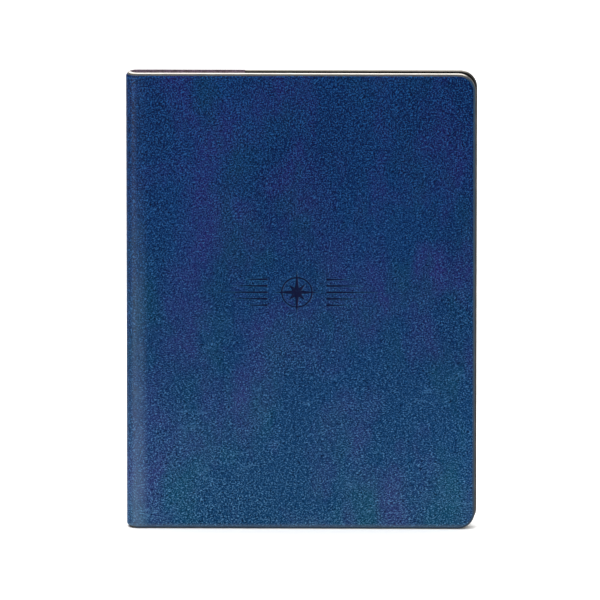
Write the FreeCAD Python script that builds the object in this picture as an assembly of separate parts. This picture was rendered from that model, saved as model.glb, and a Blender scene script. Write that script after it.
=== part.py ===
"""Pilot logbook: a flexible one-piece leatherette cover folded round a sewn block with a rounded back.

The book stands on its tail edge. +Z is up, the front cover faces -Y and the spine is at -X.
The origin is at the bottom centre of the closed book. All sizes are in millimetres.

The cover is three bonded layers: a blue leatherette skin, a stiff flexible core whose cut and
bevelled edge shows all round, and an inner layer that is a purple suede liner round the spine and
a black lining on the rest. The round spine is cut into narrow slats, so that it can roll out flat
when the book opens. Each slat carries one sewn section of pages, glued to it through the mull, and
loose leaves fill the fan between two sections.
"""

import FreeCAD
import Part
import math
import os

# Driving sizes of the cover
BOOK_WIDTH = 190.5
BOOK_HEIGHT = 254.0
BOOK_DEPTH = 13.0
CORNER_RADIUS = 9.5
FRONT_COVER_SETBACK = 0.8  # the back cover shows past the front one by this much at the fore-edge

SKIN_THICKNESS = 0.8
CORE_THICKNESS = 1.7
LINER_THICKNESS = 0.4
SKIN_INSET = 1.3  # the skin stops short of the cut edge
CORE_BEVEL = 0.8

SLAT_COUNT = 5
JOINT_STRIP_WIDTH = 8.5
LINER_SEAM_FROM_SPINE = 64.5  # where the purple liner ends and the black lining starts

# Driving sizes of the block
PAGE_INSET = 4.0  # the cover stands past the pages by this much at head, tail and fore-edge
PAGE_CORNER_RADIUS = 6.0
ENDPAPER_THICKNESS = 0.15
LEAF_THICKNESS = 0.12
LEAVES_PER_GAP = 2
SHEET_GAP = 0.03
ENDPAPER_GAP = 0.05
LEAF_START = 0.3  # loose leaves start this far from the centre of the spine's curve

MULL_THICKNESS = 0.15
GLUE_THICKNESS = 0.3
THREAD_RADIUS = 0.1
THREAD_LENGTH = 1.0
THREAD_STATIONS = 5

# Driving sizes of the blind-debossed emblem on the front
EMBLEM_X = -2.5
EMBLEM_Z = 132.5
EMBLEM_DEPTH = 0.3
STAR_POINTS = 8
STAR_LONG_RADIUS = 12.0
STAR_SHORT_RADIUS = 6.2
STAR_NOTCH_RADIUS = 2.6
RING_RADIUS = 8.2
RING_WIDTH = 0.7
RULE_START = 16.0  # the tapered rules run outwards on both sides of the star
RULE_LENGTHS = (28.0, 20.0, 12.0)
RULE_PITCH = 3.6
RULE_WIDTH = 1.1

# Worked-out places
HALF_DEPTH = BOOK_DEPTH / 2
CORE_OUT = HALF_DEPTH - SKIN_THICKNESS
LINER_OUT = CORE_OUT - CORE_THICKNESS
INNER = LINER_OUT - LINER_THICKNESS
SPINE_X = -BOOK_WIDTH / 2 + HALF_DEPTH  # centre of the spine's curve, where the flat panels start
JOINT_X = SPINE_X + JOINT_STRIP_WIDTH
BACK_FORE_X = BOOK_WIDTH / 2
FRONT_FORE_X = BACK_FORE_X - FRONT_COVER_SETBACK
SEAM_X = -BOOK_WIDTH / 2 + LINER_SEAM_FROM_SPINE
SLAT_ANGLE = 180.0 / SLAT_COUNT

PAGE_FORE_X = BACK_FORE_X - PAGE_INSET
PAGE_FOOT = PAGE_INSET
PAGE_HEAD = BOOK_HEIGHT - PAGE_INSET
GLUE_OUT = INNER - MULL_THICKNESS
GLUE_IN = GLUE_OUT - GLUE_THICKNESS
SECTION_BACK = GLUE_IN - SHEET_GAP
HALF_BLOCK = INNER - 2 * ENDPAPER_THICKNESS - ENDPAPER_GAP
LEAF_STEP = LEAF_THICKNESS + SHEET_GAP
FAN_GAP = LEAVES_PER_GAP * LEAF_STEP + SHEET_GAP
SECTION_THICKNESS = (2 * HALF_BLOCK - (SLAT_COUNT - 1) * FAN_GAP) / SLAT_COUNT


def vec(x, y, z):
    return FreeCAD.Vector(x, y, z)


def panel(x_start, x_end, y_low, y_high, z_low, z_high, corner=0.0):
    """An upright flat panel. Its two corners at x_end are rounded when a corner radius is given."""
    if not corner:
        return Part.makeBox(x_end - x_start, y_high - y_low, z_high - z_low, vec(x_start, y_low, z_low))
    bend = corner * (1 - math.sqrt(0.5))
    edges = [
        Part.LineSegment(vec(x_start, y_low, z_low), vec(x_end - corner, y_low, z_low)),
        Part.Arc(
            vec(x_end - corner, y_low, z_low),
            vec(x_end - bend, y_low, z_low + bend),
            vec(x_end, y_low, z_low + corner),
        ),
        Part.LineSegment(vec(x_end, y_low, z_low + corner), vec(x_end, y_low, z_high - corner)),
        Part.Arc(
            vec(x_end, y_low, z_high - corner),
            vec(x_end - bend, y_low, z_high - bend),
            vec(x_end - corner, y_low, z_high),
        ),
        Part.LineSegment(vec(x_end - corner, y_low, z_high), vec(x_start, y_low, z_high)),
        Part.LineSegment(vec(x_start, y_low, z_high), vec(x_start, y_low, z_low)),
    ]
    outline = Part.Wire([edge.toShape() for edge in edges])
    return Part.Face(outline).extrude(vec(0, y_high - y_low, 0))


def sided_panel(side, x_start, x_end, inner, outer, margin=0.0, corner=0.0):
    """A panel of the front (side -1) or back (side +1) cover, between two distances from the middle."""
    y_low, y_high = sorted((side * inner, side * outer))
    return panel(x_start, x_end, y_low, y_high, margin, BOOK_HEIGHT - margin, corner)


def bevelled(core, side, x_plain):
    """Bevels a flat core's outer face at head, tail and fore-edge; x_plain lists the ends left square."""
    chosen = []
    for edge in core.Edges:
        box = edge.BoundBox
        on_face = abs(side * box.YMin - CORE_OUT) < 1e-6 and abs(side * box.YMax - CORE_OUT) < 1e-6
        square_end = any(abs(box.XMin - x) < 1e-6 and abs(box.XMax - x) < 1e-6 for x in x_plain)
        if on_face and not square_end:
            chosen.append(edge)
    return core.makeChamfer(CORE_BEVEL, chosen)


def slat(number, inner_radius, outer_radius, margin=0.0):
    """One layer of a slat; slat 1 touches the back cover and the last one the front joint."""
    start = 90.0 + SLAT_ANGLE * (number - 1)
    height = BOOK_HEIGHT - 2 * margin
    base = vec(SPINE_X, 0, margin)
    ring = Part.makeCylinder(outer_radius, height, base, vec(0, 0, 1), SLAT_ANGLE)
    ring = ring.cut(Part.makeCylinder(inner_radius, height, base, vec(0, 0, 1), SLAT_ANGLE))
    ring.rotate(base, vec(0, 0, 1), start)
    return ring


def bevelled_slat(core):
    """Bevels a curved core's outer arc at head and tail."""
    chosen = []
    for edge in core.Edges:
        if isinstance(edge.Curve, Part.Circle) and abs(edge.Curve.Radius - CORE_OUT) < 1e-6:
            chosen.append(edge)
    return core.makeChamfer(CORE_BEVEL, chosen)


def cover(name, side, x_start, x_fore):
    """The layers of one cover panel."""
    skin_end = x_fore - SKIN_INSET
    skin = sided_panel(side, x_start, skin_end, CORE_OUT, HALF_DEPTH, SKIN_INSET, CORNER_RADIUS - SKIN_INSET)
    core = sided_panel(side, x_start, x_fore, LINER_OUT, CORE_OUT, 0.0, CORNER_RADIUS)
    return {
        name + "_skin": skin,
        name + "_core": bevelled(core, side, [x_start]),
        name + "_liner": sided_panel(side, x_start, SEAM_X, INNER, LINER_OUT),
        name + "_lining": sided_panel(side, SEAM_X, x_fore, INNER, LINER_OUT, 0.0, CORNER_RADIUS),
    }


def front_joint():
    """The flat strip between the round spine and the front cover, along which the front cover folds."""
    core = sided_panel(-1, SPINE_X, JOINT_X, LINER_OUT, CORE_OUT)
    return {
        "front_joint_skin": sided_panel(-1, SPINE_X, JOINT_X, CORE_OUT, HALF_DEPTH, SKIN_INSET),
        "front_joint_core": bevelled(core, -1, [SPINE_X, JOINT_X]),
        "front_joint_liner": sided_panel(-1, SPINE_X, JOINT_X, INNER, LINER_OUT),
    }


def sewing_thread(number):
    """The stitches that show on the back of a section, one at each sewing station, lying in the glue."""
    turn = math.radians(90.0 + SLAT_ANGLE * (number - 0.5))
    radius = (GLUE_IN + GLUE_OUT) / 2
    along = vec(-math.sin(turn), math.cos(turn), 0)
    spacing = (PAGE_HEAD - PAGE_FOOT) / (THREAD_STATIONS + 1)
    stitches = []
    for station in range(1, THREAD_STATIONS + 1):
        middle = vec(
            SPINE_X + radius * math.cos(turn),
            radius * math.sin(turn),
            PAGE_FOOT + station * spacing,
        )
        start = middle - along * (THREAD_LENGTH / 2)
        stitches.append(Part.makeCylinder(THREAD_RADIUS, THREAD_LENGTH, start, along))
    return Part.makeCompound(stitches)


def spine():
    """The round spine as slats that stand edge to edge, with the mull, glue and thread inside it."""
    made = {}
    for number in range(1, SLAT_COUNT + 1):
        thread = sewing_thread(number)
        made[f"spine_skin_{number}"] = slat(number, CORE_OUT, HALF_DEPTH, SKIN_INSET)
        made[f"spine_core_{number}"] = bevelled_slat(slat(number, LINER_OUT, CORE_OUT))
        made[f"spine_liner_{number}"] = slat(number, INNER, LINER_OUT)
        made[f"mull_{number}"] = slat(number, GLUE_OUT, INNER, PAGE_INSET)
        made[f"glue_{number}"] = slat(number, GLUE_IN, GLUE_OUT, PAGE_INSET).cut(thread)
        made[f"thread_{number}"] = thread
    return made


def section(y_high):
    """One sewn section, with its fold rounded to the curve of the spine."""
    y_low = y_high - SECTION_THICKNESS
    reach = SPINE_X - SECTION_BACK
    pages = panel(reach, PAGE_FORE_X, y_low, y_high, PAGE_FOOT, PAGE_HEAD, PAGE_CORNER_RADIUS)
    height = PAGE_HEAD - PAGE_FOOT
    round_back = Part.makeCylinder(SECTION_BACK, height, vec(SPINE_X, 0, PAGE_FOOT))
    flat_part = panel(SPINE_X, PAGE_FORE_X, -INNER, INNER, PAGE_FOOT, PAGE_HEAD)
    return pages.common(round_back.fuse(flat_part).removeSplitter())


def pages():
    """Sections and, between them, loose leaves. All are numbered from the back cover forwards."""
    made = {}
    leaf_number = 1
    y_high = HALF_BLOCK
    for number in range(1, SLAT_COUNT + 1):
        made[f"section_{number}"] = section(y_high)
        y_high -= SECTION_THICKNESS + SHEET_GAP
        if number < SLAT_COUNT:
            for _ in range(LEAVES_PER_GAP):
                made[f"leaf_{leaf_number}"] = panel(
                    SPINE_X + LEAF_START,
                    PAGE_FORE_X,
                    y_high - LEAF_THICKNESS,
                    y_high,
                    PAGE_FOOT,
                    PAGE_HEAD,
                    PAGE_CORNER_RADIUS,
                )
                leaf_number += 1
                y_high -= LEAF_STEP
    return made


def endpaper(side, x_tab):
    """A black endpaper: a tab glued to the cover beside the spine, and the flyleaf that hangs on it."""
    y_low, y_high = sorted((side * (INNER - ENDPAPER_THICKNESS), side * INNER))
    tab = panel(SPINE_X, x_tab, y_low, y_high, PAGE_FOOT, PAGE_HEAD)
    y_low, y_high = sorted((side * (INNER - 2 * ENDPAPER_THICKNESS), side * (INNER - ENDPAPER_THICKNESS)))
    flyleaf = panel(SPINE_X, PAGE_FORE_X, y_low, y_high, PAGE_FOOT, PAGE_HEAD, PAGE_CORNER_RADIUS)
    return flyleaf.fuse(tab)


def recess(points):
    """A shallow pocket in the front skin; its outline is given as x and z from the emblem's centre."""
    outline = [vec(EMBLEM_X + x, -HALF_DEPTH, EMBLEM_Z + z) for x, z in points]
    return Part.Face(Part.makePolygon(outline + outline[:1])).extrude(vec(0, EMBLEM_DEPTH, 0))


def emblem():
    """The blind-debossed ornament: a compass star in a ring, with tapered rules on both sides."""
    star = []
    for i in range(2 * STAR_POINTS):
        tip = STAR_SHORT_RADIUS if i % 4 else STAR_LONG_RADIUS
        radius = STAR_NOTCH_RADIUS if i % 2 else tip
        turn = math.pi * i / STAR_POINTS
        star.append((radius * math.sin(turn), radius * math.cos(turn)))
    pockets = [recess(star)]
    centre = vec(EMBLEM_X, -HALF_DEPTH, EMBLEM_Z)
    ring = Part.makeCylinder(RING_RADIUS + RING_WIDTH / 2, EMBLEM_DEPTH, centre, vec(0, 1, 0))
    pockets.append(ring.cut(Part.makeCylinder(RING_RADIUS - RING_WIDTH / 2, EMBLEM_DEPTH, centre, vec(0, 1, 0))))
    for side in (-1, 1):
        for row, length in enumerate(RULE_LENGTHS):
            for height in {row * RULE_PITCH, -row * RULE_PITCH}:
                wide = (side * RULE_START, height + RULE_WIDTH / 2)
                tip = (side * (RULE_START + length), height)
                low = (side * RULE_START, height - RULE_WIDTH / 2)
                pockets.append(recess([wide, tip, low]))
    return pockets


def build():
    """Every node of the logbook, by name."""
    made = cover("back_cover", 1, SPINE_X, BACK_FORE_X)
    made.update(spine())
    made.update(front_joint())
    made.update(cover("front_cover", -1, JOINT_X, FRONT_FORE_X))
    made["front_cover_skin"] = made["front_cover_skin"].cut(Part.makeCompound(emblem()))
    made["back_endpaper"] = endpaper(1, JOINT_X)
    made["front_endpaper"] = endpaper(-1, JOINT_X)
    made.update(pages())
    return made


def main():
    os.makedirs("parts", exist_ok=True)
    nodes = build()
    for name, shape in nodes.items():
        assert shape.isValid(), name
        shape.exportStep(os.path.join("parts", name + ".step"))
    print(len(nodes), "nodes, sections", round(SECTION_THICKNESS, 3), "mm thick")


main()
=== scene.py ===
import math
import random

import bmesh
import bpy
import numpy as np
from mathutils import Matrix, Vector


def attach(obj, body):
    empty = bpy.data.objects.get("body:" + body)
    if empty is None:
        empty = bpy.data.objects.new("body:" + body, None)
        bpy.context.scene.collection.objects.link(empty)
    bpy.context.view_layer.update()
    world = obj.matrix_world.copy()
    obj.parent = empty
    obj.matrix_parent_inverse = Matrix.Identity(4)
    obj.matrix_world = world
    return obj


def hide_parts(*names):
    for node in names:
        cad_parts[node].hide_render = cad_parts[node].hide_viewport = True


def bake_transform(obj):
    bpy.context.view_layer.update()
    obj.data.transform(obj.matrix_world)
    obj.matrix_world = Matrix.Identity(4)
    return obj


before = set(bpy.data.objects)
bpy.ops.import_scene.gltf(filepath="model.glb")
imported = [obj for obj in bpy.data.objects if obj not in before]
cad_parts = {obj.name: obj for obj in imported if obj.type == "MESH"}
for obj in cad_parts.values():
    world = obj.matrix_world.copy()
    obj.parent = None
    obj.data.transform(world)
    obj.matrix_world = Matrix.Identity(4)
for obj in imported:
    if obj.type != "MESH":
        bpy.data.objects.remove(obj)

MM = 0.001
random.seed(4)
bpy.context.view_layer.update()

# Sizes shared with the CAD source, in millimetres
HEIGHT = 254.0
SPINE_X = -88.75
OUT, CORE_OUT, LINER_OUT, INNER = 6.5, 5.7, 4.0, 3.6
BACK_FORE, FRONT_FORE = 95.25, 94.45
CORNER = 9.5
SKIN_INSET = 1.3
BEVEL = 0.8
SEAM_X = -30.75
BACK_SEAM, JOINT_SEAM, FOLD_SEAM = -84.0, -85.5, -73.0
PAGE_FORE, PAGE_LOW, PAGE_HIGH, PAGE_CORNER = 91.25, 4.0, 250.0, 6.0
GLUE_OUT, GLUE_IN, SECTION_BACK = 3.45, 3.15, 3.12
SLATS = [f"spine_slat_{i}" for i in range(1, 6)]
HALF_BLOCK, SECTION_THICKNESS, SECTION_GAP = 3.25, 1.036, 0.03
LEAF_THICKNESS, LEAF_STEP = 0.12, 0.15

# Sizes that only the looks need, in millimetres. The bevel is (distance outwards, inset).
BEVEL_LINE = [
    (CORE_OUT - BEVEL, 0.0),
    (CORE_OUT - BEVEL * 0.42, BEVEL * 0.35),
    (CORE_OUT, BEVEL),
]
RIM, ROLL = 0.7, 0.3
EDGE_DROP, EDGE_WIDTH = 0.5, 1.1
UNEVEN = 0.06
PANEL_PITCH, FINE_PITCH = 2.6, 0.32
PRESSED = 0.42
EMBLEM_X, EMBLEM_Z = -2.5, 132.5
WRAP_MIDDLE = 5.0
LEAVES_DRAWN, PAPER_SHARE = 8, 0.80
SHARP = math.radians(38)


# ---------------------------------------------------------------- materials
def srgb(r, g, b):
    def lin(c):
        c /= 255
        return c / 12.92 if c <= 0.04045 else ((c + 0.055) / 1.055) ** 2.4
    return (lin(r), lin(g), lin(b), 1.0)


class Nodes:
    """A short way to write a node tree. Sockets are passed from call to call."""

    def __init__(self, name, rest=True):
        self.mat = bpy.data.materials.new(name)
        self.mat.use_nodes = True
        self.tree = self.mat.node_tree
        self.tree.nodes.clear()
        self.out = self.tree.nodes.new("ShaderNodeOutputMaterial")
        self.bsdf = self.tree.nodes.new("ShaderNodeBsdfPrincipled")
        self.link(self.bsdf.outputs[0], self.out.inputs[0])
        if rest:
            node = self.tree.nodes.new("ShaderNodeAttribute")
            node.attribute_name = "rest"
            self.place = node.outputs["Vector"]
        else:
            self.place = self.tree.nodes.new("ShaderNodeTexCoord").outputs["Object"]

    def link(self, a, b):
        self.tree.links.new(a, b)

    def put(self, socket, value):
        if isinstance(value, bpy.types.NodeSocket):
            self.link(value, socket)
        else:
            socket.default_value = value

    def stretched(self, x, y, z, place=None, lean=0.0):
        node = self.tree.nodes.new("ShaderNodeMapping")
        node.inputs["Rotation"].default_value = (0, math.radians(lean), 0)
        node.inputs["Scale"].default_value = (x, y, z)
        self.link(place or self.place, node.inputs["Vector"])
        return node.outputs[0]

    def noise(self, scale, detail=3.0, rough=0.55, place=None, warp=0.0):
        node = self.tree.nodes.new("ShaderNodeTexNoise")
        node.inputs["Scale"].default_value = scale
        node.inputs["Detail"].default_value = detail
        node.inputs["Roughness"].default_value = rough
        node.inputs["Distortion"].default_value = warp
        self.link(place or self.place, node.inputs["Vector"])
        return node.outputs[0]

    def cells(self, scale):
        node = self.tree.nodes.new("ShaderNodeTexVoronoi")
        node.inputs["Scale"].default_value = scale
        self.link(self.place, node.inputs["Vector"])
        return node.outputs["Distance"]

    def axis(self, which):
        node = self.tree.nodes.new("ShaderNodeSeparateXYZ")
        self.link(self.place, node.inputs[0])
        return node.outputs["XYZ".index(which)]

    def attribute(self, name):
        node = self.tree.nodes.new("ShaderNodeAttribute")
        node.attribute_name = name
        return node.outputs["Fac"]

    def math(self, how, a, b=0.5):
        node = self.tree.nodes.new("ShaderNodeMath")
        node.operation = how
        for socket, value in zip(node.inputs, (a, b)):
            self.put(socket, value)
        return node.outputs[0]

    def times(self, *values):
        product = values[0]
        for value in values[1:]:
            product = self.math("MULTIPLY", product, value)
        return product

    def wandering(self, scale, amount):
        """The place, pushed about in x and z by a slow noise."""
        push = self.math("MULTIPLY", self.noise(scale, 2, 0.5), amount)
        joined = self.tree.nodes.new("ShaderNodeCombineXYZ")
        self.link(push, joined.inputs[0])
        self.link(push, joined.inputs[2])
        moved = self.tree.nodes.new("ShaderNodeVectorMath")
        moved.operation = "ADD"
        self.link(self.place, moved.inputs[0])
        self.link(joined.outputs[0], moved.inputs[1])
        return moved.outputs[0]

    def spread(self, value, low, high, to_low=0.0, to_high=1.0):
        node = self.tree.nodes.new("ShaderNodeMapRange")
        node.inputs["From Min"].default_value = low
        node.inputs["From Max"].default_value = high
        node.inputs["To Min"].default_value = to_low
        node.inputs["To Max"].default_value = to_high
        self.put(node.inputs["Value"], value)
        return node.outputs[0]

    def mix(self, share, a, b):
        node = self.tree.nodes.new("ShaderNodeMix")
        node.data_type = "RGBA"
        self.put(node.inputs[0], share)
        self.put(node.inputs[6], a)
        self.put(node.inputs[7], b)
        return node.outputs[2]

    def bump(self, height, depth, strength=1.0, under=None):
        node = self.tree.nodes.new("ShaderNodeBump")
        node.inputs["Strength"].default_value = strength
        node.inputs["Distance"].default_value = depth
        self.put(node.inputs["Height"], height)
        if under is not None:
            self.link(under, node.inputs["Normal"])
        return node.outputs[0]

    def finish(self, color, rough, normal=None, **more):
        self.put(self.bsdf.inputs["Base Color"], color)
        self.put(self.bsdf.inputs["Roughness"], rough)
        if normal is not None:
            self.link(normal, self.bsdf.inputs["Normal"])
        for key, value in more.items():
            self.put(self.bsdf.inputs[key.replace("_", " ")], value)
        return self.mat


def leather_clouds(n, floor_reflection_share):
    """Navy clouds with purple and teal patches, all lighter towards the tail as a painted
    reflection of the pale floor.
    """
    clouds = n.spread(n.noise(16, 3, 0.5, n.stretched(1.0, 1.0, 0.45)), 0.36, 0.66)
    color = n.mix(clouds, srgb(0, 26, 72), srgb(2, 40, 88))
    # Painted reflection of the floor: the navy grows lighter towards the tail.
    color = n.mix(n.times(floor_reflection_share, 0.85), color, srgb(12, 64, 106))
    purple = n.noise(31, 4, 0.55, n.stretched(1.0, 1.0, 0.62), 0.25)
    purple = n.spread(purple, 0.47, 0.66, 0.0, 0.85)
    color = n.mix(purple, color, n.mix(floor_reflection_share, srgb(30, 26, 92), srgb(46, 58, 112)))
    teal = n.noise(37, 4, 0.55, n.stretched(1.1, 1.0, 0.55), 0.25)
    teal = n.spread(teal, 0.50, 0.70, 0.0, 0.8)
    return n.mix(teal, color, n.mix(floor_reflection_share, srgb(0, 42, 72), srgb(14, 76, 102)))


def leather_pebble(n, place):
    """Height of the grain: round pebbles, drawn out slantwise in patches near the tail."""
    pebbles = n.noise(1250, 2, 0.6, place, 0.4)
    drawn_out = n.noise(1850, 2, 0.6, n.stretched(0.5, 1.0, 1.0, place, 17), 0.3)
    patches = n.spread(n.noise(14, 3), 0.32, 0.58, 0.1, 0.75)
    share = n.times(patches, n.spread(n.axis("Z"), 0.22, 0.08))
    pebbles = n.times(pebbles, n.math("SUBTRACT", 1.0, share))
    return n.math("ADD", pebbles, n.times(drawn_out, share))


def leather_creases(n, place):
    """Share of fine broken creases that run slantwise, more of them towards the tail."""
    folds = n.noise(95, 3, 0.55, n.stretched(0.3, 1.0, 1.0, place, 15), 0.3)
    folds = n.math("ABSOLUTE", n.math("ADD", folds, -0.5))
    broken = n.spread(n.noise(34, 3), 0.5, 0.64)
    fading = n.spread(n.axis("Z"), 0.04, 0.22, 0.36, 0.1)
    return n.times(n.spread(folds, 0.002, 0.012, 1.0, 0.0), broken, fading)


def leatherette():
    n = Nodes("blue_leatherette")
    # Painted reflection of the pale floor, strongest at the tail, lightens the leather's colours.
    floor_reflection_share = n.math("POWER", n.spread(n.axis("Z"), 0.0, HEIGHT * MM, 1.0, 0.0), 2.1)
    color = leather_clouds(n, floor_reflection_share)
    place = n.wandering(70, 0.006)
    pebble = leather_pebble(n, place)
    crease = leather_creases(n, place)

    # Painted highlight on the pebbles' ridges, lighter towards the tail with the painted floor
    # reflection.
    highlight_tone = n.mix(floor_reflection_share, srgb(26, 80, 136), srgb(92, 146, 186))
    color = n.mix(n.times(n.spread(pebble, 0.52, 0.64), 0.95), color, highlight_tone)
    # Painted shade in the pits between the pebbles.
    pit_shade = n.spread(pebble, 0.36, 0.50, 1.0, 0.0)
    color = n.mix(n.times(pit_shade, 0.95), color, srgb(0, 8, 32))
    # The creases take the same lightened tone as the ridges.
    color = n.mix(crease, color, highlight_tone)

    # Painted highlight: a lighter sheen band on the spine's shoulders, strongest towards the tail.
    from_shoulder = n.math("ABSOLUTE", n.math("ADD", n.axis("X"), 0.0888))
    shoulder_sheen = n.times(
        n.spread(from_shoulder, 0.0012, 0.0055, 1.0, 0.0),
        n.spread(n.axis("Z"), 0.0, 0.2, 0.3, 0.02),
        n.spread(n.noise(110, 4, 0.6), 0.3, 0.6, 0.55, 1.0),
    )
    color = n.mix(shoulder_sheen, color, srgb(112, 134, 158))
    tail_edge = n.spread(n.axis("Z"), 0.0014, 0.0032, 0.5, 0.0)
    color = n.mix(tail_edge, color, srgb(96, 112, 126))

    pressed = n.attribute("deboss")
    # Painted highlight on the shoulders round the pressed emblem.
    lip_highlight = n.times(n.spread(pressed, 0.02, 0.25), n.spread(pressed, 0.3, 0.6, 1.0, 0.0))
    color = n.mix(n.times(lip_highlight, 0.4), color, srgb(40, 98, 140))
    color = n.mix(n.times(n.spread(pressed, 0.25, 0.75), 0.92), color, srgb(4, 8, 42))

    unevenness = n.noise(24, 5, 0.7, n.stretched(1.0, 1.0, 0.3), 1.6)
    relief = n.bump(unevenness, 0.0008, 0.35)
    relief = n.bump(crease, 0.0002, 0.5, relief)
    relief = n.bump(pebble, 0.0003, 0.8, relief)
    rough = n.spread(n.noise(60, 3), 0.3, 0.7, 0.36, 0.48)
    rough = n.math("ADD", rough, n.times(pressed, 0.12))
    return n.finish(color, rough, relief, Specular_IOR_Level=0.035)


def core_cut():
    """The cut face of the core: cream at the head as painted top light, the rest dark as painted
    shade, the back cover's head greyed by painted shade, dark beside the suede.
    """
    n = Nodes("core_cut_edge")
    fibre = n.noise(900, 4, 0.7, n.stretched(0.25, 1.0, 0.25))
    behind = n.spread(n.axis("Y"), -0.002, 0.002)
    # Painted shade greys the back cover's head.
    back_shade_factor = n.math("SUBTRACT", 1.0, n.times(behind, 0.5))
    # Painted light: cream where top light falls on the head; sides and tail painted in shade.
    lit_head_share = n.times(n.spread(n.axis("Z"), 0.2525, 0.2535), back_shade_factor)
    shaded_cut_color = n.mix(fibre, srgb(52, 52, 50), srgb(84, 81, 76))
    lit_head_color = n.mix(fibre, srgb(196, 190, 182), srgb(222, 216, 208))
    color = n.mix(lit_head_share, shaded_cut_color, lit_head_color)
    color = n.mix(n.spread(n.noise(120, 2), 0.5, 0.8, 0.0, 0.3), color, srgb(150, 138, 130))
    seam = SEAM_X * MM
    by_suede = n.times(behind, n.spread(n.axis("X"), seam - 0.0003, seam + 0.0003, 1.0, 0.0))
    dyed = n.mix(fibre, srgb(58, 46, 58), srgb(96, 82, 94))
    color = n.mix(n.times(by_suede, 0.9), color, dyed)
    return n.finish(color, 0.75, n.bump(fibre, 0.0001, 0.6), Specular_IOR_Level=0.25)


def core_bevel():
    """The bevel: taupe at the head as painted top light, elsewhere blue-grey by the skin and
    darkened at its outer edge as painted shade where it turns away.
    """
    n = Nodes("core_bevel")
    fibre = n.noise(700, 4, 0.7)
    wear = n.noise(55, 3, 0.6)
    # Painted top light: the head's bevel is lighter than the rest.
    lit_head_color = n.mix(fibre, srgb(56, 58, 56), srgb(90, 88, 84))
    lit_head_color = n.mix(n.spread(wear, 0.5, 0.75, 0.0, 0.6), lit_head_color, srgb(48, 62, 74))
    # Painted shade towards the bevel's outer edge, where it turns away from the light.
    outer = n.mix(fibre, srgb(30, 34, 34), srgb(52, 56, 54))
    by_skin = n.mix(fibre, srgb(18, 48, 74), srgb(46, 74, 98))
    up = n.spread(n.math("ABSOLUTE", n.axis("Y")), 0.0051, CORE_OUT * MM - 0.00005)
    color = n.mix(n.spread(n.axis("Z"), 0.2508, 0.253), n.mix(up, outer, by_skin), lit_head_color)
    rough = n.spread(wear, 0.3, 0.7, 0.55, 0.7)
    return n.finish(color, rough, n.bump(fibre, 0.0001, 0.7), Specular_IOR_Level=0.25)


def suede():
    n = Nodes("purple_suede")
    nap = n.noise(1500, 4, 0.75)
    clumps = n.noise(230, 4, 0.6, None, 0.8)
    brushed = n.noise(45, 4, 0.6, n.stretched(1.0, 1.0, 0.4), 0.8)
    color = n.mix(n.spread(nap, 0.35, 0.65), srgb(66, 50, 70), srgb(134, 114, 136))
    color = n.mix(n.spread(clumps, 0.42, 0.62, 0.0, 0.7), color, srgb(82, 68, 72))
    color = n.mix(n.spread(brushed, 0.48, 0.68, 0.0, 0.45), color, srgb(128, 112, 128))
    relief = n.bump(n.math("ADD", nap, n.times(clumps, 0.8)), 0.0004, 0.9)
    sheen = {"Sheen_Weight": 0.25, "Sheen_Roughness": 0.6}
    return n.finish(color, 0.95, relief, Specular_IOR_Level=0.1, **sheen)


def black_lining():
    n = Nodes("black_lining")
    smudge = n.noise(30, 5, 0.6, None, 0.8)
    fine = n.noise(260, 4, 0.7)
    grain = n.cells(780)
    color = n.mix(n.spread(smudge, 0.38, 0.65), srgb(6, 6, 7), srgb(24, 24, 27))
    color = n.mix(n.spread(grain, 0.2, 0.7, 0.0, 0.5), color, srgb(2, 2, 3))
    color = n.mix(n.spread(fine, 0.58, 0.72, 0.0, 0.35), color, srgb(58, 58, 62))
    relief = n.bump(n.math("ADD", n.times(grain, -1.0), n.times(fine, 0.6)), 0.0002, 0.8)
    rough = n.spread(smudge, 0.3, 0.7, 0.42, 0.62)
    return n.finish(color, rough, relief, Specular_IOR_Level=0.14)


def black_paper():
    n = Nodes("black_endpaper", False)
    tooth = n.noise(900, 5, 0.75)
    fibres = n.noise(320, 5, 0.75, n.stretched(1.0, 1.0, 0.25), 1.2)
    scuff = n.noise(22, 5, 0.65, None, 1.0)
    color = n.mix(n.spread(tooth, 0.35, 0.65), srgb(10, 10, 12), srgb(30, 29, 32))
    color = n.mix(n.spread(fibres, 0.57, 0.68, 0.0, 0.5), color, srgb(62, 60, 62))
    color = n.mix(n.spread(scuff, 0.52, 0.72, 0.0, 0.35), color, srgb(52, 51, 54))
    relief = n.bump(n.math("ADD", tooth, fibres), 0.00015, 0.8)
    rough = n.spread(scuff, 0.3, 0.7, 0.95, 0.78)
    return n.finish(color, rough, relief, Specular_IOR_Level=0.1)


def line_every(n, value, pitch, width):
    """1 on thin lines that repeat at a pitch, 0 between them."""
    return n.math("LESS_THAN", n.math("PINGPONG", value, pitch / 2), width / 2)


def line_at(n, value, where, width):
    distance = n.math("ABSOLUTE", n.math("SUBTRACT", value, where))
    return n.math("LESS_THAN", distance, width / 2)


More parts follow.
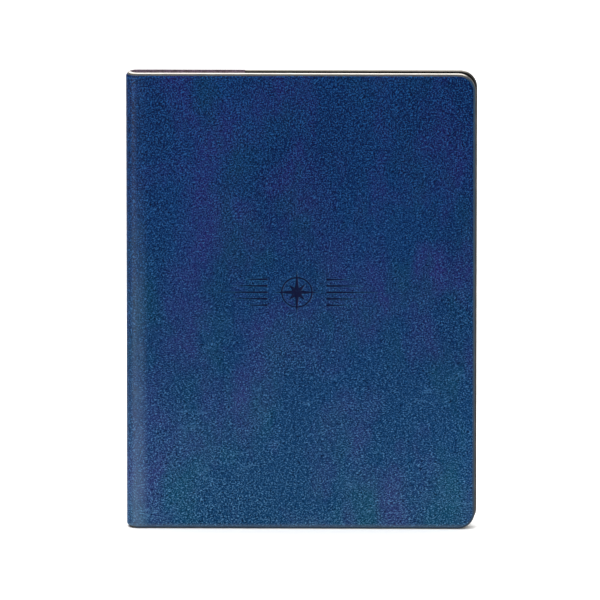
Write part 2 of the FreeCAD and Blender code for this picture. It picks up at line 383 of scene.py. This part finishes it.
def log_paper():
    """Cream paper ruled with rows and columns under a tinted heading band, in metres."""
    n = Nodes("log_paper")
    x, z = n.axis("X"), n.axis("Z")
    tooth = n.noise(1300, 4, 0.7)
    color = n.mix(n.noise(35, 3), srgb(238, 231, 212), srgb(247, 242, 228))
    left, right, low, head, high = -0.070, 0.080, 0.020, 0.2165, 0.236
    columns = (-0.0699, -0.050, -0.028, -0.006, 0.008, 0.022, 0.036, 0.050, 0.064, 0.0799)
    frame_inside = n.times(
        n.math("GREATER_THAN", z, low),
        n.math("LESS_THAN", z, high),
        n.math("GREATER_THAN", x, left),
        n.math("LESS_THAN", x, right),
    )
    lines = n.times(line_every(n, z, 0.0072, 0.00022), n.math("LESS_THAN", z, head))
    for where in columns:
        lines = n.math("MAXIMUM", lines, line_at(n, x, where, 0.0003))
    for where in (low + 0.0003, head, high - 0.0003):
        lines = n.math("MAXIMUM", lines, line_at(n, z, where, 0.0005))
    band = n.times(n.math("GREATER_THAN", z, head), frame_inside)
    color = n.mix(n.times(band, 0.35), color, srgb(150, 172, 190))
    color = n.mix(n.times(lines, frame_inside, 0.75), color, srgb(84, 104, 128))
    return n.finish(color, 0.9, n.bump(tooth, 0.00005, 0.6))


def page_edge():
    n = Nodes("page_edge")
    sheets = n.noise(5200, 3, 0.6, n.stretched(0.02, 1.0, 0.02))
    streak = n.noise(420, 4, 0.7, n.stretched(1.0, 4.0, 0.25))
    color = n.mix(n.spread(sheets, 0.35, 0.65), srgb(176, 164, 140), srgb(244, 238, 224))
    color = n.mix(n.spread(streak, 0.5, 0.75, 0.0, 0.4), color, srgb(214, 202, 176))
    height = n.math("ADD", sheets, streak)
    return n.finish(color, 0.92, n.bump(height, 0.00015, 0.8), Specular_IOR_Level=0.2)


def gauze():
    n = Nodes("mull_gauze")
    weft = n.math("PINGPONG", n.axis("Z"), 0.0005)
    warp = n.math("PINGPONG", n.axis("X"), 0.0005)
    weave = n.math("MAXIMUM", n.times(weft, 2000.0), n.times(warp, 2000.0))
    slub = n.noise(300, 4, 0.7)
    color = n.mix(weave, srgb(168, 160, 140), srgb(232, 227, 212))
    color = n.mix(n.spread(slub, 0.4, 0.7, 0.0, 0.4), color, srgb(196, 184, 158))
    return n.finish(color, 0.9, n.bump(weave, 0.0001, 0.8))


def glue():
    n = Nodes("binding_glue")
    flow = n.noise(130, 4, 0.6, None, 1.2)
    color = n.mix(flow, srgb(206, 196, 168), srgb(238, 232, 214))
    return n.finish(color, n.spread(flow, 0.3, 0.7, 0.25, 0.5), n.bump(flow, 0.0002, 0.7))


def thread():
    n = Nodes("sewing_thread", False)
    twist = n.noise(2600, 3, 0.6, n.stretched(1.0, 1.0, 3.0))
    color = n.mix(twist, srgb(196, 190, 174), srgb(240, 236, 224))
    return n.finish(color, 0.7, n.bump(twist, 0.0001, 0.9))


LEATHER = leatherette()
CUT, BEVELLED = core_cut(), core_bevel()
SUEDE, LINING = suede(), black_lining()
ENDPAPER, PAPER, EDGE = black_paper(), log_paper(), page_edge()
GAUZE, GLUE, THREAD = gauze(), glue(), thread()


# ---------------------------------------------------------------- meshes
def made(name, points, faces, materials, picks=None, smooth=True, extra=None):
    """A mesh from points in millimetres. Each point's place at rest is kept for the materials."""
    points = np.asarray(points, float) * MM
    mesh = bpy.data.meshes.new(name)
    mesh.from_pydata(points.tolist(), [], [tuple(int(i) for i in f) for f in faces])
    for m in materials:
        mesh.materials.append(m)
    if picks is not None:
        mesh.polygons.foreach_set("material_index", picks)
    mesh.polygons.foreach_set("use_smooth", [smooth] * len(mesh.polygons))
    keep = mesh.attributes.new("rest", "FLOAT_VECTOR", "POINT")
    keep.data.foreach_set("vector", points.astype(np.float32).ravel())
    for key, values in (extra or {}).items():
        layer = mesh.attributes.new(key, "FLOAT", "POINT")
        layer.data.foreach_set("value", np.asarray(values, np.float32))
    mesh.update()
    obj = bpy.data.objects.new(name, mesh)
    bpy.context.scene.collection.objects.link(obj)
    if smooth:
        mesh.set_sharp_from_angle(angle=SHARP)
    return obj


def low_edge(x, fore, inset, corner):
    """Height of a cover outline's lower side at x; the upper side mirrors it."""
    radius = corner - inset
    start = fore - inset - radius
    over = np.clip(np.asarray(x, float) - start, 0, radius)
    return inset + radius - np.sqrt(np.maximum(radius ** 2 - over ** 2, 0))


def inside_depth(x, z, fore, inset, corner):
    """Distance of a point from the outline's head, tail and fore-edge sides, inwards."""
    radius = corner - inset
    dx = x - (fore - inset - radius)
    dz = np.maximum((inset + radius) - z, z - (HEIGHT - inset - radius))
    both = np.hypot(np.maximum(dx, 0), np.maximum(dz, 0)) + np.minimum(np.maximum(dx, dz), 0)
    return radius - both


def columns_to(x_start, fore, inset, corner, pitch, fine=None):
    """x places of a panel's grid: even, finer in one stretch, and close at the rounded end."""
    radius = corner - inset
    turn = fore - inset - radius
    stops = [x_start, turn] if fine is None else [x_start, fine[0], fine[1], turn]
    places = []
    for i, (a, b) in enumerate(zip(stops, stops[1:])):
        step = fine[2] if fine is not None and i == 1 else pitch
        count = max(1, round((b - a) / step))
        places += list(np.linspace(a, b, count, endpoint=False))
    places += [turn + radius * math.sin(math.radians(a)) for a in np.linspace(0, 90, 14)]
    return np.array(places)


def row_shares(inset, pitch, fine=None):
    """Shares of the height for a panel's rows, closer together at head and tail."""
    full = HEIGHT - 2 * inset
    ends = np.array([0, 0.1, 0.3, 0.6, 1.0, 1.8]) / full
    stops = [ends[-1], 1 - ends[-1]]
    if fine is not None:
        stops[1:1] = [(fine[0] - inset) / full, (fine[1] - inset) / full]
    middle = []
    for i, (a, b) in enumerate(zip(stops, stops[1:])):
        step = (fine[2] if fine is not None and i == 1 else pitch) / full
        middle += list(np.linspace(a, b, max(1, round((b - a) / step)), endpoint=False))
    return np.array(list(ends[:-1]) + middle + list(1 - ends[::-1]))


def polygon_distance(px, pz, corners):
    """Signed distance to a closed polygon, negative inside."""
    best = np.full(px.shape, 1e9)
    inside = np.zeros(px.shape, bool)
    for (ax, az), (bx, bz) in zip(corners, corners[1:] + corners[:1]):
        ex, ez = bx - ax, bz - az
        t = np.clip(((px - ax) * ex + (pz - az) * ez) / (ex * ex + ez * ez), 0, 1)
        best = np.minimum(best, np.hypot(px - ax - t * ex, pz - az - t * ez))
        crosses = (az > pz) != (bz > pz)
        with np.errstate(divide="ignore", invalid="ignore"):
            where = ax + (pz - az) * ex / (ez if ez else 1e-12)
        inside ^= crosses & (px < where)
    return np.where(inside, -best, best)


def emblem_depth(x, z):
    """How far each point of the front lies in the pressed emblem: 0 outside, 1 at its floor."""
    px, pz = x - EMBLEM_X, z - EMBLEM_Z
    star = []
    for i in range(16):
        radius = 2.6 if i % 2 else (6.2 if i % 4 else 12.0)
        star.append((radius * math.sin(math.pi * i / 8), radius * math.cos(math.pi * i / 8)))
    signed = polygon_distance(px, pz, star)
    signed = np.minimum(signed, np.abs(np.hypot(px, pz) - 8.2) - 0.35)
    for side in (-1, 1):
        for row, length in enumerate((28.0, 20.0, 12.0)):
            for up in {row * 3.6, -row * 3.6}:
                near, far = side * 16.0, side * (16.0 + length)
                rule = [(near, up + 0.55), (far, up), (near, up - 0.55)]
                signed = np.minimum(signed, polygon_distance(px, pz, rule))
    t = np.clip((0.34 - signed) / 0.55, 0, 1)
    return t * t * (3 - 2 * t)


def gentle(x, z, seed):
    """Slow unevenness of a soft cover, about -1 to 1."""
    return (
        np.sin(x * 0.061 + seed) * np.cos(z * 0.043 + 1.7 * seed)
        + 0.6 * np.sin(x * 0.113 - z * 0.071 + 2.3 * seed)
        + 0.4 * np.sin(z * 0.147 + x * 0.031 + 0.9 * seed)
    ) / 2


def skin_panel(name, side, x_start, fore, emblem=False):
    """The flat part of the skin, its rim pressed down softly at head, tail and fore-edge."""
    fine_x = (EMBLEM_X - 46.0, EMBLEM_X + 46.0, FINE_PITCH) if emblem else None
    fine_z = (EMBLEM_Z - 13.5, EMBLEM_Z + 13.5, FINE_PITCH) if emblem else None
    xs = columns_to(x_start, fore, SKIN_INSET, CORNER, PANEL_PITCH, fine_x)
    shares = row_shares(SKIN_INSET, PANEL_PITCH, fine_z)
    low = low_edge(xs, fore, SKIN_INSET, CORNER)
    x, share = np.meshgrid(xs, shares, indexing="ij")
    z = low[:, None] + (HEIGHT - 2 * low[:, None]) * share
    depth = inside_depth(x, z, fore, SKIN_INSET, CORNER)
    edge = np.clip(depth / EDGE_WIDTH, 0, 1)
    level = OUT - EDGE_DROP * (1 - np.sqrt(1 - (1 - edge) ** 2))
    ease = np.clip((x - x_start) / 12, 0, 1) * np.clip(depth / 14, 0, 1)
    level -= UNEVEN * ease * (1 + gentle(x, z, 1.3 if side < 0 else 4.1))
    pressed = emblem_depth(x, z) if emblem else np.zeros(x.shape)
    level -= PRESSED * pressed
    count, rows = x.shape
    top = np.stack([x, side * level, z], -1).reshape(-1, 3)
    index = np.arange(count * rows).reshape(count, rows)
    a, b, c, d = index[:-1, :-1], index[1:, :-1], index[1:, 1:], index[:-1, 1:]
    quads = np.stack([a, b, c, d], -1).reshape(-1, 4)
    loop = list(index[:, 0]) + list(index[-1, 1:])
    loop += list(index[-2::-1, -1]) + list(index[0, -2:0:-1])
    under = top[loop].copy()
    under[:, 1] = side * CORE_OUT
    base = len(top)
    n = len(loop)
    walls = [(loop[i], base + i, base + (i + 1) % n, loop[(i + 1) % n]) for i in range(n)]
    faces = [tuple(q) for q in quads] + walls + [tuple(range(base + n - 1, base - 1, -1))]
    if side > 0:
        faces = [tuple(reversed(f)) for f in faces]
    points = np.vstack([top, under])
    dark = np.concatenate([pressed.ravel(), np.zeros(n)])
    return made(name, points, faces, [LEATHER], None, True, {"deboss": dark})


def outline(x_start, fore, inset, corner, low=0.0, high=HEIGHT, pitch=12.0, more=()):
    """An outline in x and z, from the lower spine end round the fore-edge to the upper one."""
    radius = corner - inset
    turn = fore - inset - radius
    count = max(2, round((turn - x_start) / pitch))
    straight = list(np.linspace(x_start, turn, count, endpoint=False))
    straight = sorted(straight + [x for x in more if x_start < x < turn])
    below = [(x, low + inset) for x in straight]
    for a in [math.radians(a) for a in np.linspace(0, 90, 13)]:
        below.append((turn + radius * math.sin(a), low + inset + radius * (1 - math.cos(a))))
    above = [(x, low + high - z) for x, z in reversed(below)]
    return below + above


def loops_to_solid(name, levels, materials, picks):
    """A closed solid from loops of equally many points: a cap, the bands between, and a cap."""
    n = len(levels[0])
    points = [p for loop in levels for p in loop]
    faces, chosen = [tuple(range(n - 1, -1, -1))], [picks[0]]
    for i in range(len(levels) - 1):
        for k in range(n):
            j = (k + 1) % n
            faces.append((i * n + k, i * n + j, (i + 1) * n + j, (i + 1) * n + k))
            chosen.append(picks[i + 1])
    last = (len(levels) - 1) * n
    faces.append(tuple(range(last, last + n)))
    chosen.append(picks[-1])
    obj = made(name, points, faces, materials, chosen, True)
    fix_normals(obj)
    return obj


def fix_normals(obj):
    work = bmesh.new()
    work.from_mesh(obj.data)
    bmesh.ops.recalc_face_normals(work, faces=work.faces)
    work.to_mesh(obj.data)
    work.free()
    obj.data.set_sharp_from_angle(angle=SHARP)


def core_panel(name, side, x_start, fore):
    """The flat part of the core. Past the suede's seam its rim rolls over the black lining."""
    step = (SEAM_X - 0.05, SEAM_X + 0.05)
    rolled_y = LINER_OUT - ROLL
    under_suede = [(1.6, LINER_OUT), (1.2, LINER_OUT), (0.9, LINER_OUT), (0.3, LINER_OUT)]
    under_suede.append((0.0, LINER_OUT + 0.02))
    rolled = [(1.6, LINER_OUT), (RIM, LINER_OUT), (RIM - 0.02, rolled_y), (0.3, rolled_y)]
    rolled.append((0.0, rolled_y + 0.3))
    outer = [(inset, y) for y, inset in BEVEL_LINE] + [(2.2, CORE_OUT)]
    levels = []
    for (inset, y), (more_inset, more_y) in zip(under_suede + outer, rolled + outer):
        plain = outline(x_start, fore, inset, CORNER, more=step)
        rim = outline(x_start, fore, more_inset, CORNER, more=step)
        levels.append([
            (x, side * y, z) if x < SEAM_X else (u, side * more_y, w)
            for (x, z), (u, w) in zip(plain, rim)
        ])
    return loops_to_solid(name, levels, [CUT, BEVELLED], [0, 0, 0, 0, 0, 0, 0, 1, 1, 1])


def inner_panel(name, side, x_start, fore, material, rounded):
    """A flat bonded layer inside a cover, square or following the cover's rounded corners."""
    if rounded:
        ring = outline(x_start, fore, RIM, CORNER)
    else:
        xs = list(np.linspace(x_start, fore, 12))
        ring = [(x, 0.0) for x in xs] + [(x, HEIGHT) for x in reversed(xs)]
    levels = [[(x, side * y, z) for x, z in ring] for y in (INNER, LINER_OUT)]
    return loops_to_solid(name, levels, [material], [0, 0, 0])


def stations(start, end, pitch=0.45):
    """Places along the wrap from one stop to another, each a centre and a direction outwards.
    A stop is ("back", x), ("turn", degrees) or ("front", x)."""
    order = {"back": 0, "turn": 1, "front": 2}
    stops = [start]
    if order[start[0]] == 0 and order[end[0]] > 0:
        stops += [("back", SPINE_X), ("turn", 90.0)]
    if order[start[0]] <= 1 and order[end[0]] == 2:
        stops += [("turn", 270.0), ("front", SPINE_X)]
    stops.append(end)
    places = []
    for (kind, a), (other, b) in zip(stops, stops[1:]):
        if kind != other:
            continue
        length = abs(b - a) * (math.pi * WRAP_MIDDLE / 180 if kind == "turn" else 1)
        for value in np.linspace(a, b, max(2, round(length / pitch) + 1)):
            if kind == "turn":
                t = math.radians(value)
                place = (SPINE_X, 0.0, math.cos(t), math.sin(t))
            else:
                place = (value, 0.0, 0.0, 1.0 if kind == "back" else -1.0)
            at = (place[0] + WRAP_MIDDLE * place[2], place[1] + WRAP_MIDDLE * place[3])
            if not places or math.hypot(at[0] - places[-1][4], at[1] - places[-1][5]) > 1e-6:
                places.append(place + at)
    return [p[:4] for p in places]


def swept(name, places, profile, materials, picks):
    """A closed profile of (distance outwards, height) carried along the wrap, with end caps."""
    n = len(profile)
    points = [(cx + nx * r, cy + ny * r, z) for cx, cy, nx, ny in places for r, z in profile]
    faces, chosen = [], []
    for i in range(len(places) - 1):
        for k in range(n):
            j = (k + 1) % n
            faces.append((i * n + k, (i + 1) * n + k, (i + 1) * n + j, i * n + j))
            chosen.append(picks[k])
    last = (len(places) - 1) * n
    faces += [tuple(range(n)), tuple(range(last + n - 1, last - 1, -1))]
    chosen += [picks[0], picks[0]]
    obj = made(name, points, faces, materials, chosen)
    fix_normals(obj)
    return obj


def skin_profile():
    up = []
    for d in (0.0, 0.1, 0.3, 0.6, 1.0, 1.8):
        edge = min(d / EDGE_WIDTH, 1)
        drop = EDGE_DROP * (1 - math.sqrt(1 - (1 - edge) ** 2))
        up.append((OUT - drop, SKIN_INSET + d))
    middle = [(OUT, z) for z in np.linspace(12, HEIGHT - 12, 24)]
    down = [(r, HEIGHT - z) for r, z in reversed(up)]
    ring = [(CORE_OUT, SKIN_INSET)] + up + middle + down + [(CORE_OUT, HEIGHT - SKIN_INSET)]
    return ring, [0] * len(ring)


def core_profile():
    """Cut face at head and tail, softened bevel, hidden faces."""
    low = [(LINER_OUT, 0.0)] + BEVEL_LINE + [(CORE_OUT, 2.2)]
    high = [(r, HEIGHT - z) for r, z in reversed(low)]
    return low + high, [0, 0, 1, 1, 1, 1, 1, 0, 0, 0]


def plain_profile(r_in, r_out, low, high, count=12):
    heights = list(np.linspace(low, high, count))
    return [(r_in, z) for z in heights] + [(r_out, z) for z in reversed(heights)], [0] * (2 * count)


def on_turn(degrees, radius):
    """A place on the spine's curve, in metres."""
    t = math.radians(degrees)
    return ((SPINE_X + radius * math.cos(t)) * MM, radius * math.sin(t) * MM, 0.127)


def flat_point(x, y):
    """A place on a flat cover, in metres."""
    return (x * MM, y * MM, 0.127)


def wrap_bends(layer, profile, picks, materials):
    """One layer of the cover, from the back panel round to the front one, in bending lengths."""
    turns = [108.0 + 36 * i for i in range(5)]
    stops = [("back", BACK_SEAM)] + [("turn", t) for t in turns] + [("front", JOINT_SEAM)]
    points = [flat_point(-87.0, INNER)] + [on_turn(t, INNER) for t in turns]
    points.append(flat_point(-87.0, -INNER))
    for i in range(6):
        places = stations(stops[i], stops[i + 1])
        obj = swept(f"{layer}_spine_{i + 1}", places, profile, materials, picks)
        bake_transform(obj)
    places = stations(("front", JOINT_SEAM), ("front", FOLD_SEAM), 0.3)
    obj = swept(f"{layer}_joint", places, profile, materials, picks)
    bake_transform(obj)
    for i in range(5):
        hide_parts(f"spine_{layer}_{i + 1}")
    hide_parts(f"front_joint_{layer}")


# ---------------------------------------------------------------- the cover
for layer, (profile, picks), materials, slot in (
    ("skin", skin_profile(), [LEATHER], "blue_leatherette"),
    ("core", core_profile(), [CUT, BEVELLED], "cover_core"),
    ("liner", plain_profile(INNER, LINER_OUT, 0.0, HEIGHT), [SUEDE], "purple_suede"),
):
    wrap_bends(layer, profile, picks, materials)

for body, side, x_start, fore in (
    ("back_cover", 1, BACK_SEAM, BACK_FORE),
    ("front_cover", -1, FOLD_SEAM, FRONT_FORE),
):
    skin = skin_panel(body + "_leather", side, x_start, fore, emblem=side < 0)
    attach(skin, body)
    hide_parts(body + "_skin")
    core = core_panel(body + "_board", side, x_start, fore)
    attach(core, body)
    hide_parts(body + "_core")
    liner = inner_panel(body + "_suede", side, x_start, SEAM_X, SUEDE, False)
    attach(liner, body)
    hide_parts(body + "_liner")
    lining = inner_panel(body + "_black", side, SEAM_X, fore, LINING, True)
    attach(lining, body)
    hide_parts(body + "_lining")


# ---------------------------------------------------------------- mull and glue
for layer, r_in, r_out, material, slot in (
    ("mull", GLUE_OUT, INNER, GAUZE, "mull_cloth"),
    ("glue", GLUE_IN, GLUE_OUT, GLUE, "binding_glue"),
):
    profile, picks = plain_profile(r_in, r_out, PAGE_LOW, PAGE_HIGH)
    for i in range(4):
        start = 90.0 if i == 0 else 108.0 + 36 * i
        end = 270.0 if i == 3 else 144.0 + 36 * i
        places = stations(("turn", start), ("turn", end))
        obj = swept(f"{layer}_strip_{i + 1}", places, profile, [material], picks)
        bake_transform(obj)
        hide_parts(f"{layer}_{i + 1}", f"{layer}_{i + 2}")


# ---------------------------------------------------------------- pages
def sheet_loops(x_start, fore, y_low, y_high):
    """The two outlines of a leaf, on its two faces."""
    ring = outline(x_start, fore, 0.0, PAGE_CORNER, PAGE_LOW, PAGE_HIGH, 20.0)
    return [[(x, y, z) for x, z in ring] for y in (y_low, y_high)]


def section(number, y_high):
    """A sewn section as separate leaves, whose backs follow the round of the spine."""
    step = SECTION_THICKNESS / LEAVES_DRAWN
    points, faces, picks = [], [], []
    for i in range(LEAVES_DRAWN):
        top = y_high - i * step
        bottom = top - step * PAPER_SHARE
        reach = math.sqrt(max(SECTION_BACK ** 2 - max(abs(top), abs(bottom)) ** 2, 0))
        from_middle = abs(i - (LEAVES_DRAWN - 1) / 2)
        fore = PAGE_FORE - 0.10 * from_middle * random.uniform(0.4, 1.2)
        levels = sheet_loops(SPINE_X - reach, fore, bottom, top)
        n, base = len(levels[0]), len(points)
        points += levels[0] + levels[1]
        faces.append(tuple(range(base + n - 1, base - 1, -1)))
        faces.append(tuple(range(base + n, base + 2 * n)))
        picks += [0, 0]
        for k in range(n):
            j = (k + 1) % n
            faces.append((base + k, base + j, base + n + j, base + n + k))
            picks.append(1)
    obj = made(f"section_{number}_leaves", points, faces, [PAPER, EDGE], picks, False)
    fix_normals(obj)
    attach(obj, SLATS[number - 1])
    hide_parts(f"section_{number}")


def loose_leaf(number, y_high):
    """A single leaf with enough columns to bend softly away from the section it lies on."""
    x_start = SPINE_X + 0.3
    bend_end, turn = x_start + 45, PAGE_FORE - PAGE_CORNER
    xs = np.concatenate([
        np.linspace(x_start, bend_end, 31),
        np.linspace(bend_end, turn, 14)[1:],
        [turn + PAGE_CORNER * math.sin(math.radians(a)) for a in np.linspace(9, 90, 10)],
    ])
    low = low_edge(xs, PAGE_FORE, 0.0, PAGE_CORNER) + PAGE_LOW
    shares = np.linspace(0, 1, 12)
    rows, count = len(shares), len(xs)
    points = []
    for y in (y_high - LEAF_THICKNESS, y_high):
        for i in range(count):
            points += [(xs[i], y, low[i] + (HEIGHT - 2 * low[i]) * s) for s in shares]
    face_a = np.arange(count * rows).reshape(count, rows)
    face_b = face_a + count * rows
    faces, picks = [], []
    for grid, flip in ((face_a, False), (face_b, True)):
        for i in range(count - 1):
            for k in range(rows - 1):
                quad = (grid[i, k], grid[i + 1, k], grid[i + 1, k + 1], grid[i, k + 1])
                faces.append(tuple(reversed(quad)) if flip else quad)
                picks.append(0)
    rim = [(i, 0) for i in range(count)] + [(count - 1, k) for k in range(1, rows)]
    rim += [(i, rows - 1) for i in range(count - 2, -1, -1)]
    rim += [(0, k) for k in range(rows - 2, 0, -1)]
    for here, there in zip(rim, rim[1:] + rim[:1]):
        faces.append((face_a[there], face_a[here], face_b[here], face_b[there]))
        picks.append(1)
    obj = made(f"loose_leaf_{number}", points, faces, [PAPER, EDGE], picks, True)
    fix_normals(obj)
    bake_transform(obj)
    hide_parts(f"leaf_{number}")


level, leaf = HALF_BLOCK, 1
for i in range(5):
    section(i + 1, level)
    level -= SECTION_THICKNESS + SECTION_GAP
    if i < 4:
        for _ in range(2):
            loose_leaf(leaf, level)
            leaf, level = leaf + 1, level - LEAF_STEP


# ---------------------------------------------------------------- CAD pieces that stay
def paint(node, material):
    """Gives a CAD node its material. The node itself stays as it is."""
    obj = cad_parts[node]
    obj.data.materials.clear()
    obj.data.materials.append(material)


for node in ("front_endpaper", "back_endpaper"):
    paint(node, ENDPAPER)
for i in range(1, 6):
    paint(f"thread_{i}", THREAD)


# ---------------------------------------------------------------- floor, light and camera
def floor():
    """A wide pale floor, its corners 6 m out."""
    mesh = bpy.data.meshes.new("floor")
    s = 6.0
    mesh.from_pydata([(-s, -s, 0), (s, -s, 0), (s, s, 0), (-s, s, 0)], [], [(0, 1, 2, 3)])
    obj = bpy.data.objects.new("floor", mesh)
    bpy.context.scene.collection.objects.link(obj)
    n = Nodes("floor_white", False)
    tone = n.noise(3, 2)
    color = n.mix(tone, (0.90, 0.90, 0.90, 1), (0.93, 0.93, 0.93, 1))
    mesh.materials.append(n.finish(color, 0.8))


def area_light(name, place, aim, size, power, gloss_only=False):
    data = bpy.data.lights.new(name, "AREA")
    data.shape = "RECTANGLE"
    data.size, data.size_y = size
    data.energy = power
    obj = bpy.data.objects.new(name, data)
    bpy.context.scene.collection.objects.link(obj)
    obj.location = place
    direction = np.array(aim) - np.array(place)
    obj.rotation_euler = Vector(direction).to_track_quat("-Z", "Y").to_euler()
    obj.visible_diffuse = not gloss_only


def camera(elevation, azimuth, distance, width, aim):
    """A camera that sees a given width at the distance of its aim."""
    data = bpy.data.cameras.new("camera")
    data.sensor_width = 36
    data.lens = 36 * distance / width
    data.clip_start, data.clip_end = 0.1, 100
    obj = bpy.data.objects.new("camera", data)
    bpy.context.scene.collection.objects.link(obj)
    e, a = math.radians(elevation), math.radians(azimuth)
    back = Vector((math.sin(a) * math.cos(e), -math.cos(a) * math.cos(e), math.sin(e)))
    obj.location = Vector(aim) + back * distance
    obj.rotation_euler = (-back).to_track_quat("-Z", "Y").to_euler()
    bpy.context.scene.camera = obj


floor()
world = bpy.data.worlds.new("studio")
world.use_nodes = True
background = world.node_tree.nodes["Background"]
background.inputs["Color"].default_value = (1.0, 1.0, 1.0, 1)
background.inputs["Strength"].default_value = 0.35
bpy.context.scene.world = world
area_light("overhead", (-0.2, -0.35, 2.2), (0, 0, 0.1), (2.0, 2.0), 75)
area_light("left_strip", (-1.2, -1.2, 0.06), (-0.09, 0, 0.06), (0.2, 0.25), 70, gloss_only=True)
area_light("background", (0, 2.6, 2.6), (0, 2.0, 0), (4.0, 2.0), 110)
camera(13.3, 0.6, 9.0, 0.3260, (-0.0008, -0.0065, 0.1283))
bpy.context.scene.view_settings.view_transform = "Standard"
